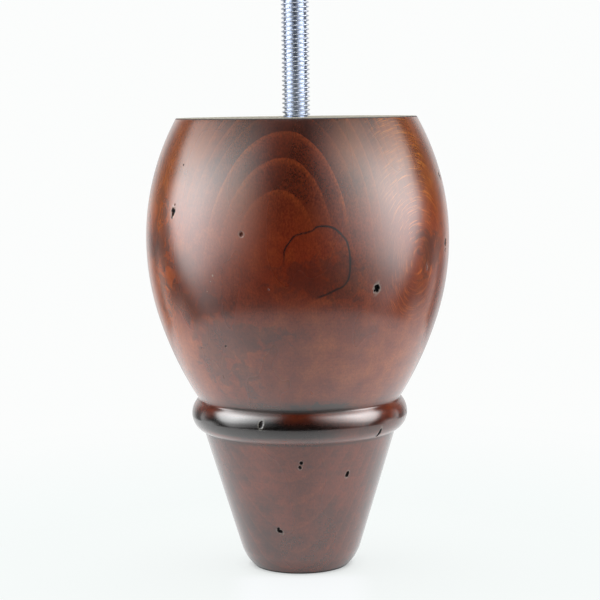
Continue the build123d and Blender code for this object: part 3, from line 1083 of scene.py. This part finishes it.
# Millimetres up, and the share of that brightness
WALL_HEIGHTS = (
    (5, 0.02), (20, 0.14), (45, 0.22), (65, 0.52), (85, 0.68), (105, 0.82), (125, 0.95), (145, 0.97), (165, 0.83),
    (190, 0.53), (220, 0.30), (260, 0.16), (310, 0.08), (360, 0.03),
)


def share_of_turn(tree, x, y):
    """Direction round the axis, a half at the front, and 0 or 1 at the back."""
    return times_plus(tree, bearing(tree, x, y), 1 / FULL_TURN, 0.5)


wall_cloth, cloth = material("lit cloth")
cloth_x, cloth_y, cloth_z = xyz(cloth, put(cloth, "NewGeometry").outputs["Position"])
cloth_turn = share_of_turn(cloth, cloth_x, cloth_y)
from_front = reckon(cloth, "ABSOLUTE", less(cloth, cloth_turn, 0.5))
round_share = graded(cloth, cloth_turn, [(0.5 + degrees / 360, value / BRIGHTEST) for degrees, value in WALLS])
# Towards the front the lit part climbs
climb = plus(cloth, times(cloth, from_front, -360.0), 70.0)
climb = times(cloth, larger(cloth, climb, 0.0), 1 / 37)
climb = times(cloth, climb, times_plus(cloth, cloth_z, 0.12, 0.024))
lit_height = times(cloth, less(cloth, cloth_z, climb), 1 / WALL_TOP)
up_share = graded(cloth, lit_height, [(mm * MM / WALL_TOP, value) for mm, value in WALL_HEIGHTS])
# The rear edge of each wall leans: low down it stands further forward, high up further back
rear = times(cloth, reckon(cloth, "ABSOLUTE", less(cloth, cloth_turn, 0.492)), 360.0)
rear = times_plus(cloth, larger(cloth, less(cloth, 0.120, cloth_z), 0.0), 250.0, rear)
rear = times_plus(cloth, larger(cloth, less(cloth, cloth_z, 0.150), 0.0), -230.0, rear)
glow = times(cloth, times(cloth, round_share, up_share), between(cloth, rear, 105.0, 91.0))
# At its foot, towards the back, the cloth lies down on the sheet and is lit like it
backward = times(cloth, from_front, 360.0)
laid_down = times(cloth, between(cloth, cloth_z, 0.05, 0.015), between(cloth, backward, 84.0, 100.0))
rear_fold = times(cloth, between(cloth, cloth_z, 0.11, 0.04), between(cloth, backward, 101.0, 118.0))
laid_down = times(cloth, larger(cloth, laid_down, rear_fold), 0.7)
glow = times_plus(cloth, glow, BRIGHTEST, laid_down)
cloth_light = put(cloth, "Emission", {"Color": (1, 1, 1, 1), "Strength": glow})
put(cloth, "OutputMaterial", {"Surface": cloth_light.outputs[0]})
wall_data.materials.append(wall_cloth)
print("lit cloth:", len(cloth.nodes), "nodes")

# %% Light from further away
OVERHEAD, LAMPS = 4.6, 5.5
# Degrees round, and how bright the dim parts are
SURROUND = (
    (-156, 0.7), (-140, 0.12), (-120, 0.08), (-40, 0.05), (-20, 0),
    (20, 0), (40, 0.05), (118, 0.05), (140, 0.1), (156, 0.7),
)


def raised_to(degrees):
    """A height above the horizon, as the share of the way from straight down to straight up."""
    return 0.5 + degrees / 180


world = bpy.data.worlds.new("white tent")
scene.world = world
world.use_nodes = True
sky = world.node_tree
sky.nodes.clear()
toward_x, toward_y, toward_z = xyz(sky, put(sky, "TexCoord").outputs["Generated"])
turned = share_of_turn(sky, toward_x, toward_y)
raised = times_plus(sky, reckon(sky, "ARCSINE", toward_z), 1 / math.pi, 0.5)
surround = graded(sky, turned, [(0.5 + degrees / 360, value) for degrees, value in SURROUND])
overhead = times(sky, between(sky, raised, raised_to(70), raised_to(83)), OVERHEAD)
# Two soft lamps high up behind the foot: only the bead's upper half faces them
aside = times(sky, reckon(sky, "ABSOLUTE", less(sky, turned, 0.5)), 360.0)
lamps = band(sky, aside, (88.0, 104.0), (158.0, 146.0))
for dark_at, lit_at in ((34, 44), (72, 62)):
    lamps = times(sky, lamps, between(sky, raised, raised_to(dark_at), raised_to(lit_at)))
far_light = times_plus(sky, lamps, LAMPS, plus(sky, surround, overhead))
tent_light = put(sky, "Background", {"Color": (1, 1, 1, 1), "Strength": far_light})
backdrop = put(sky, "Background", {"Color": (0.97, 0.98, 0.975, 1), "Strength": 1.0})
camera_ray = put(sky, "LightPath").outputs["Is Camera Ray"]
sky_mix = put(sky, "MixShader", {0: camera_ray, 1: tent_light.outputs[0], 2: backdrop.outputs[0]})
put(sky, "OutputWorld", {"Surface": sky_mix.outputs[0]})
print("far light painted in", len(SURROUND), "stops")

# %% [markdown]
# ## Camera
# The camera stands about half a metre in front of the foot, a little above its top face, and looks slightly
# down with a long lens. These numbers come from fitting the outline of the turned shape to the photograph.

# %% Camera
SENSOR, LENS, NEAREST = 36.0, 109.6, 0.01
STAND, LOOK_DOWN, ROLL = (0.00046, -0.51895, 0.13365), 0.1098, -0.0118
camera_data = bpy.data.cameras.new("camera")
camera_data.sensor_width = SENSOR
camera_data.lens = LENS
camera_data.clip_start = NEAREST
camera = add_object("camera", camera_data)
camera.matrix_world = (
    Matrix.Translation(STAND)
    @ Matrix.Rotation(math.pi / 2 - LOOK_DOWN, 4, "X")
    @ Matrix.Rotation(ROLL, 4, "Z")
)
scene.camera = camera
print("camera", [round(v, 3) for v in camera.matrix_world.translation])

# %% [markdown]
# ## Last update
# The finished pieces must not outgrow the solid model; this last cell only brings the scene up to date.

# %% Bring the scene up to date
bpy.context.view_layer.update()
